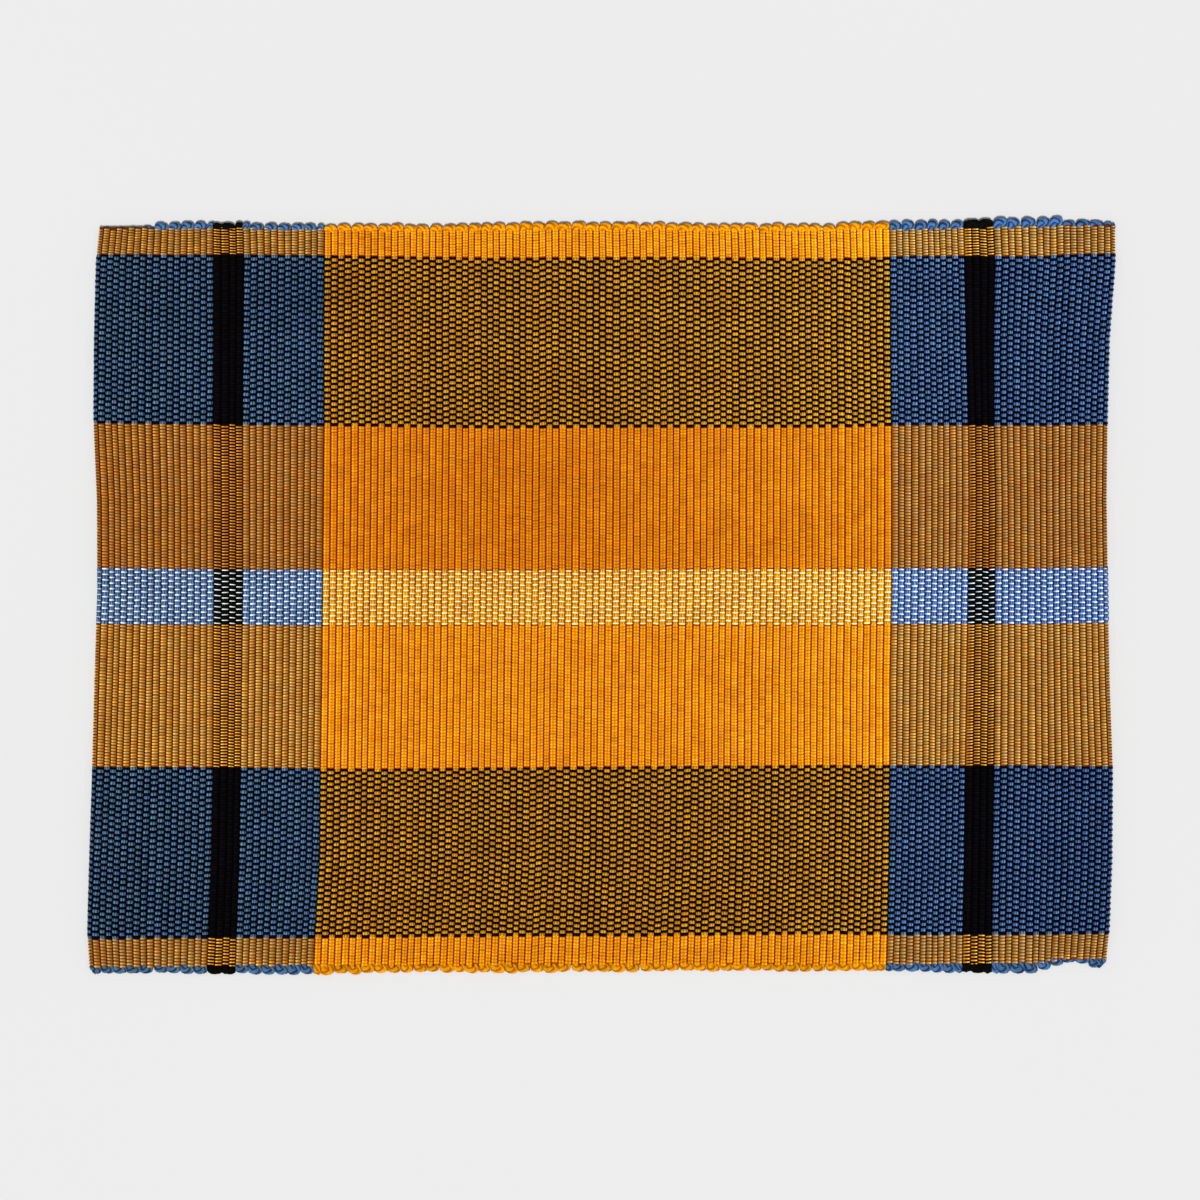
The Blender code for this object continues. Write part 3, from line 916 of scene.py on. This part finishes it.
def lay_warps(name, bands, finish, half, level, rise, blunt, tones, seed, span=1.0,
              gain=(1.0,) * 3):
    """All grains of the given bands. half, level, rise, blunt, tones and gain go by the cord.

    half is half a grain's thickness, in warps.
    """
    rng = np.random.default_rng(seed)
    ribs, warps = crossings(bands)
    y = warp_on_rib(warps + 0.5, ribs + 0.5)
    y = y + sway(ribs, y) + rng.normal(0, JITTER, len(ribs))
    colour = np.array([CORD_ORDER.index(name) for name, _ in BLOCKS])[block_of(ribs)]
    on_blue = colour == CORD_ORDER.index("blue")
    thick = (np.array(half)[colour] * warp_pitch(ribs, warps)
             * rng.normal(1.0, THICK_AND_THIN, len(ribs)))
    low, high = np.array(tones)[colour].T
    tone = low + (high - low) * rng.uniform(0, 1, len(ribs)) ** TONE_SKEW
    tone = tone + LEFT_TONE * (0.5 - ribs / RIBS) * on_blue
    tone = tone - LOWER_TONE * ((warps >= WARP_STARTS[-2]) & on_blue)
    outermost = WARPS - 1 - warps < OUTER_WARPS
    tone = np.clip(tone + outermost * rng.uniform(0, OUTER_TONE, len(ribs)), 0, 1)
    tilt = RIB_SLOPES[ribs + HEM_LAP] + rng.normal(0, GRAIN_SLOPE, len(ribs))
    return lay_copies(name, GRAIN, finish, ribs, y, thick, span, np.array(level)[colour],
                      np.array(rise)[colour], tone, tilt, 1.0, np.array(WARP_SIDE)[colour],
                      np.array(blunt)[colour], True, np.array(gain)[colour])


# %% The grains of each yarn
# on a gold, a blue and a black cord
GOLD_LOOK = {"half": (1.2, 0.84, 0.5), "level": (-0.15, -0.26, -0.28), "rise": (0.22, 0.3, 0.3),
             "blunt": (1.05, 1.18, 1.18), "tones": ((0.85, 1.0), (0.0, 0.32), (0.35, 0.7)),
             "gain": (1.0, 1.03, 1.25)}
BLACK_LOOK = {"half": (0.5,) * 3, "level": (-0.38,) * 3, "rise": (0.3,) * 3, "blunt": (1.24,) * 3,
              "tones": ((0.0, 0.3), (0.7, 1.0), (0.3, 0.6))}
WHITE_LOOK = {"half": (0.36, 0.36, 0.2), "level": (-0.3,) * 3, "rise": (0.34,) * 3,
              "blunt": (1.3,) * 3, "tones": ((0.0, 0.15), (0.9, 1.0), (0.7, 0.9)), "span": 0.84,
              "gain": (1.0, 1.0, 1.25)}
warp_pieces = [
    lay_warps("warps_edge_gold", (0, 6), edge_gold, seed=31, **GOLD_LOOK),
    lay_warps("warps_deep_gold", (2,), deep_gold, seed=32, **GOLD_LOOK),
    lay_warps("warps_light_gold", (4,), light_gold, seed=33, **GOLD_LOOK),
    lay_warps("warps_black", (1, 5), black_warp, seed=34, **BLACK_LOOK),
    lay_warps("warps_white", (3,), white_warp, seed=35, **WHITE_LOOK),
]
for piece, slot in zip(warp_pieces, ("gold_yarn",) * 3 + ("black_yarn", "white_yarn")):
    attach(piece, "root")

# %% [markdown]
# ## Loaves of cord
# Between two thick black or white warps the cord swells. There is one loaf at each place
# where the warp goes under, so the loaves are the other half of the crossings.

# %% The cords that swell between thick warps
LOAF_BANDS = (1, 3, 5)
BLACK_BAND_LOAF = 0.62  # half its length, in warps
WHITE_BAND_LOAF = 0.8
LOAF_SPAN = (0.9, 1.06)  # of the rib's width
LOAF_RISE = 0.85  # mm
LOAF_DOME = 0.7
LOAF_WEAR = 0.05
LENGTHS = 0.03
RISES = (0.97, 0.04)
# the spread of its tones, how much lighter they are at the right end and in the white band
LOAF_TONES = {"gold": (0.5, 0.0, 0.5), "blue": (0.3, 0.25, 0.6), "black": (0.5, 0.0, 0.5)}


def lay_loaves(name, colour, finish, seed):
    """All loaves on the ribs of one colour."""
    rng = np.random.default_rng(seed)
    ribs, warps = crossings(LOAF_BANDS, parity=0)
    ours = np.array([name == colour for name, _ in BLOCKS])[block_of(ribs)]
    ribs, warps = ribs[ours], warps[ours]
    count = len(ribs)
    y = warp_on_rib(warps + 0.5, ribs + 0.5)
    y = y + sway(ribs, y) + rng.normal(0, JITTER / 2, count)
    white_band = np.array([name == "white" for name, _ in BANDS])[band_of(warps)]
    if colour == "blue":
        rng.uniform(size=count)  # thrown away, which only shifts the draws that follow
    spread, right, white = LOAF_TONES[colour]
    tone = rng.uniform(0.0, spread, count) + right * ribs / RIBS + white * white_band
    span = np.random.default_rng(SEED + 9).uniform(*LOAF_SPAN, ALL_RIBS)[ribs + HEM_LAP]
    half = warp_pitch(ribs, warps) * np.where(white_band, WHITE_BAND_LOAF, BLACK_BAND_LOAF)
    return lay_copies(name, LOAF, finish, ribs, y, half * rng.normal(1.0, LENGTHS, count),
                      span, -LOAF_RISE, LOAF_RISE * rng.normal(*RISES, count), tone,
                      RIB_SLOPES[ribs + HEM_LAP], LOAF_DOME, CORD_SIDE, uneven=LOAF_WEAR)


loaf_pieces = [lay_loaves("cord_gold", "gold", gold_cord, 41),
               lay_loaves("cord_blue", "blue", blue_cord, 42),
               lay_loaves("cord_black", "black", black_cord, 43)]
for piece, slot in zip(loaf_pieces, ("gold_yarn", "blue_yarn", "black_yarn")):
    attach(piece, "root")

# %% [markdown]
# ## Turns of cord along the long edges
# At a long edge each cord turns back into the next rib. The turn is a short piece of
# three-strand cord, so a three-lobed outline is screwed into a straight twisted rod once,
# and the rod is then bent round each turn.

# %% A straight piece of twisted cord
CORD_SIDES = 12
CORD_RINGS = 16
LOBES = 3
LOBE_DEPTH = 0.12
TWIST = math.radians(400)

bpy.ops.mesh.primitive_circle_add(vertices=CORD_SIDES, radius=1.0)
rod = bpy.context.object
bpy.ops.object.mode_set(mode="EDIT")
in_groove = [math.tau * lobe / LOBES for lobe in range(LOBES)]
stretch((1 - 2 * LOBE_DEPTH,) * 3,
        lambda co: max(math.cos(math.atan2(co.y, co.x) - turn) for turn in in_groove) > 0.99)
bpy.ops.object.mode_set(mode="OBJECT")
screw = rod.modifiers.new("twist", "SCREW")
screw.axis = "Z"
screw.angle = TWIST
screw.screw_offset = 1.0
screw.steps = screw.render_steps = CORD_RINGS
bpy.ops.object.modifier_apply(modifier=screw.name)
bpy.ops.object.mode_set(mode="EDIT")
bpy.ops.mesh.select_all(action="SELECT")
bpy.ops.mesh.remove_doubles(threshold=0.0001)
bpy.ops.mesh.fill_holes(sides=0)
lay_out_map()
bpy.ops.object.mode_set(mode="OBJECT")
ROD = unit_arrays(rod)
print("rod", len(ROD[0]), "points", int((ROD[2] - 2).sum()), "triangles")

# %% Where the turns are
UPPER, LOWER = 1, -1
LOOP_UNEVENNESS = 0.4
# x and y of the outermost points of the turns, in mm
UPPER_EDGE = np.array(((-236.0, 173.6), (-215.0, 174.0), (-207.8, 176.0), (-189.0, 176.8),
                       (-128.0, 175.4), (-62.0, 175.4), (-24.3, 176.5), (46.3, 175.8),
                       (107.5, 175.4), (140.4, 177.2), (168.0, 177.5), (184.0, 178.2),
                       (215.0, 178.9), (222.0, 177.0), (227.0, 177.9), (232.0, 177.6),
                       (241.0, 176.4)))
LOWER_EDGE = np.array(((-240.8, -177.4), (-214.9, -177.3), (-184.3, -177.3), (-133.5, -178.0),
                       (-80.8, -176.5), (-47.8, -177.1), (74.5, -176.1), (140.4, -176.1),
                       (178.1, -177.3), (201.6, -177.2), (208.0, -176.0), (213.4, -174.6),
                       (216.0, -172.3), (224.0, -172.5), (232.0, -174.4), (238.0, -175.8)))


def edge_turns(side):
    """The turns of one long edge, as (first rib, ribs joined, extra length in mm)."""
    uneven = np.random.default_rng(SEED + side)
    turns = []
    rib = -HEM_LAP if side == LOWER else 1 - HEM_LAP
    for number, lower_single in enumerate(LOWER_SINGLES):
        last = STARTS[number + 1] if number < len(BLOCKS) - 1 else RIBS + HEM_LAP
        single = lower_single if side == LOWER else 1 - lower_single
        while rib < last:
            alone = (rib == STARTS[number] and single and number) or rib == last - 1
            joined = 1 if alone else 2
            turns.append((rib, joined, uneven.uniform(-LOOP_UNEVENNESS, LOOP_UNEVENNESS)))
            rib += joined
    return turns


print(len(edge_turns(UPPER)), "turns on the upper edge,", len(edge_turns(LOWER)), "on the lower")

# %% Bend a rod round each turn
CORD_WIDTH = 1.68  # mm, half the cord's width where it turns
CORD_HEIGHT = 1.05  # mm, half its height
LEG_DEPTH = 0.15  # mm, the cord's top lies this far below the crests where it leaves the cloth
ROOT_DEPTH = 2.2  # mm, the turn starts this far inside the outermost warp
ROOT_DIP = 0.9  # mm, how much deeper it lies there
SHORTEST_LEG = 0.4
LEAST_REACH = 0.3  # mm, a turn shows at least this far past the outermost warp
HEM_REACH = 1.1  # mm, and this far past it under a hem
SQUARENESS = 4.0  # 2 is a round turn, more is squarer
SWELLING = 0.18  # the cord is this much thicker in the middle of its turn
# how much wider than its two ribs a turn spreads
SPREAD = {UPPER: {"gold": 0.4, "blue": 0.2, "black": 0.5},
          LOWER: {"gold": 0.42, "blue": 0.42, "black": 0.5}}
HEM_DROOP = 2.2  # mm, the turns of a hem's upper layer hang down to the table
SAG = {UPPER: -0.55, LOWER: 0.22}  # mm, the turns of the upper edge curl up a little
THINNING = 0.28  # at most, from the first leg to the second
LEAN = 0.4  # mm, how far a turn leans to a side
RIB_PITCH = 3.13
EDGE_Y = 172.0  # mm, where the ribs' places are read
# how far the legs are from the middle, in ribs, and the cord's width; for one rib and for two
LEG_PLACES, TURN_WIDTHS = {1: 0.24, 2: 0.5}, {1: 0.72 * CORD_WIDTH, 2: CORD_WIDTH}


def bend_rod(rib, joined, side, extra, rng):
    """The points of a rod bent from one rib out past the edge and back into the next."""
    points = ROD[0]
    middle = rib + joined / 2
    half_ribs, width = LEG_PLACES[joined], TURN_WIDTHS[joined]
    x = rib_x(np.clip(middle, 1, RIBS - 1), side * EDGE_Y)
    edge = warp_y(0.0 if side == UPPER else float(WARPS), x)
    reach = np.interp(x, *(UPPER_EDGE if side == UPPER else LOWER_EDGE).T) + side * extra
    folded = rib + joined <= 0 or rib >= RIBS
    reach = HEM_REACH if folded else max((reach - edge) * side, LEAST_REACH)
    bend = half_ribs * RIB_PITCH
    thinning = rng.uniform(0.0, THINNING)
    spread = SPREAD[side][BLOCKS[int(block_of(rib))][0]]
    # the middle of the turn, outwards from the last warp
    centre = reach - width * (1 - thinning / 2 + SWELLING) * (1 - LOBE_DEPTH / 2) - bend
    leg = max(centre + ROOT_DEPTH, SHORTEST_LEG)
    length = 2 * leg + math.pi * bend
    s = points[:, 2] * length
    turn = np.clip((s - leg) / (math.pi * bend), 0, 1) * math.pi
    along = -np.cos(turn)  # -1 in the first rib, 1 in the second
    # The cord rises out of the first rib, leans over and dives thinner into the second.
    size = 1.0 - thinning * (1 + along) / 2 + SWELLING * np.sin(turn)
    lean = rng.normal(0, LEAN)
    roll = rng.uniform(0, math.tau)
    across = points[:, 0] * math.cos(roll) - points[:, 1] * math.sin(roll)
    up = points[:, 0] * math.sin(roll) + points[:, 1] * math.cos(roll)
    section = across * width * size
    straight = (s < leg) | (s > leg + math.pi * bend)
    outward = np.where(straight, np.sign(along), along)  # the section is square to the cord
    ahead = np.where(straight, 0.0, np.sin(turn))
    squared = (np.abs(along) ** SQUARENESS + np.sin(turn) ** SQUARENESS) ** (-1 / SQUARENESS)
    forward = np.where(s < leg, s - leg,
                       np.where(straight, length - leg - s, bend * np.sin(turn) * squared))
    rib_place = (middle + along * squared * half_ribs * (1 + spread * np.sin(turn))
                 + (section * outward + lean * np.sin(turn)) / RIB_PITCH)
    y = edge + side * (centre + forward + section * ahead)
    inside = np.clip(-(centre + forward) / ROOT_DEPTH, 0, 1)
    droop = 0.0 if folded else HEM_DROOP * hem_share(middle)
    sag = (SAG[side] + droop) * np.sin(turn) ** 2 + ROOT_DIP * inside
    height = np.maximum(-LEG_DEPTH - sag + CORD_HEIGHT * ((up + 1) * np.minimum(size, 1) - 2),
                        -CLOTH_THICKNESS - droop)
    bent = on_table(rib_place, y, height)
    bent[:, 2] = np.maximum(bent[:, 2], 0.0)  # no lower than the table
    return bent, up


# %% Lay the turns
ROD_LENGTH = 9.0  # mm, about
MAP_SHIFT = 17.3  # mm of the yarn's map between one turn and the next
TURN_TONES = {UPPER: (0.6, 1.0), LOWER: (0.0, 0.4)}  # the lower turns are duller
# painted shade: a turn's depth falls towards its underside, which then takes the furrow shade
SIDE_DEPTH, LEAST_DEPTH = 0.55, 0.1  # "depth" half way up a turn, and at its foot


def strand_map():
    """A map for the rod: across its strands, and along it, in mm. Strands meet at whole plies."""
    points, corners, sizes, _ = ROD
    angle = np.arctan2(points[:, 1], points[:, 0]) - TWIST * points[:, 2]
    angle = angle[corners] % math.tau
    start = 0
    for size in sizes:  # a face that crosses the end of a full turn is carried on past it
        own = angle[start : start + size]
        own[own < own.max() - math.pi] += math.tau
        start += size
    return np.stack((angle / math.tau * LOBES * CORD_PLY, points[corners, 2] * ROD_LENGTH), axis=-1)


def lay_turns(name, colour, finish, seed):
    """All turns in one colour of cord, joined as one piece."""
    rng = np.random.default_rng(seed)
    laid, depths, tones = [], [], []
    for side in (UPPER, LOWER):
        for rib, joined, extra in edge_turns(side):
            bent, up = bend_rod(rib, joined, side, extra, rng)
            if BLOCKS[int(block_of(rib))][0] == colour:
                laid.append(bent)
                depths.append(np.clip(SIDE_DEPTH + up, LEAST_DEPTH, 1.0))
                tones.append(rng.uniform(*TURN_TONES[side]))
    count = len(laid)
    corners, sizes, bake_map = repeat_unit(ROD, count)
    yarn = np.repeat(strand_map()[None], count, axis=0)
    yarn[:, :, 1] += np.arange(count)[:, None] * MAP_SHIFT
    plain = np.ones(count * len(ROD[0]))
    return make_piece(name, np.concatenate(laid), corners, sizes, finish,
                      {"yarn": yarn.reshape(-1, 2), "OFBake": bake_map},
                      {"tone": np.repeat(tones, len(ROD[0])), "depth": np.concatenate(depths),
                       "wear": plain, "across": plain})


turn_pieces = [lay_turns("turns_gold", "gold", gold_turn, 51),
               lay_turns("turns_blue", "blue", blue_turn, 52),
               lay_turns("turns_black", "black", black_cord, 53)]
for piece, slot in zip(turn_pieces, ("gold_yarn", "blue_yarn", "black_yarn")):
    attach(piece, "root")

# %% [markdown]
# ## What the mat is
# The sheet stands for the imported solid. It was woven as a flat piece, 170 ribs long with both
# hems unfolded, and it lies flat on the table.

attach(sheet, "root")
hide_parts("mat_cloth")
